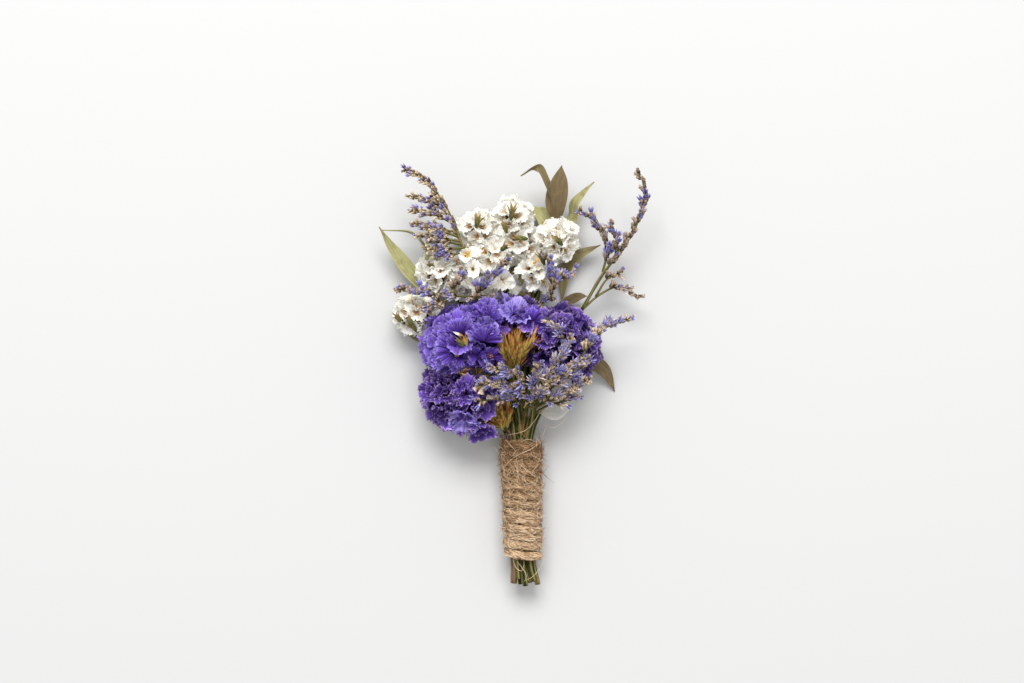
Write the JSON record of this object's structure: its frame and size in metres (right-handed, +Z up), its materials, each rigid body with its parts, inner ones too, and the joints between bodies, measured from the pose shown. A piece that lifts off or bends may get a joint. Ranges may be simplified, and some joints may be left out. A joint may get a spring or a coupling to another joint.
{
  "type": "boutonniere",
  "caption": "Dried-flower boutonniere lying flat: statice heads, sea lavender sprays and narrow leaves on stems bound together in a handle of wound jute twine.",
  "frame": {"origin": "on the table, below the middle of the twine", "axes": "+Y runs along the handle from the cut stem ends to the blooms, +X is to the right as seen from above, +Z is up from the table"},
  "size_m": [0.0763, 0.1194, 0.0235],
  "materials": {
    "purple_calyx": "papery, pleated, translucent",
    "white_calyx": "papery, translucent, with tan centres",
    "green_stem": "dried, ribbed, matt",
    "sea_lavender": "dried florets on thin olive branches, matt",
    "dry_leaf": "dried leaf with a paler midrib, satin",
    "jute": "twisted fibre, fuzzy, matt"
  },
  "bodies": {
    "root": {"jute_twine": "jute", "purple_statice_stem_main": "green_stem", "purple_statice_stem_left": "green_stem", "purple_statice_stem_right": "green_stem", "white_statice_stem_left": "green_stem", "white_statice_stem_middle": "green_stem", "white_statice_stem_right": "green_stem", "leaf_twig_left": "dry_leaf", "leaf_twig_right": "dry_leaf", "white_statice_bloom_low_left": "white_calyx", "white_statice_bloom_left": "white_calyx", "white_statice_bloom_mid_left": "white_calyx", "white_statice_bloom_centre": "white_calyx", "white_statice_bloom_top_left": "white_calyx", "white_statice_bloom_top": "white_calyx", "white_statice_bloom_right": "white_calyx", "white_statice_bloom_front": "white_calyx", "sea_lavender_front": "sea_lavender", "sea_lavender_left": "sea_lavender", "sea_lavender_right": "sea_lavender", "sea_lavender_middle": "sea_lavender", "purple_statice_bloom_right": "purple_calyx", "purple_statice_bloom_main": "purple_calyx", "purple_statice_bloom_left": "purple_calyx"}
  },
  "joints": []
}
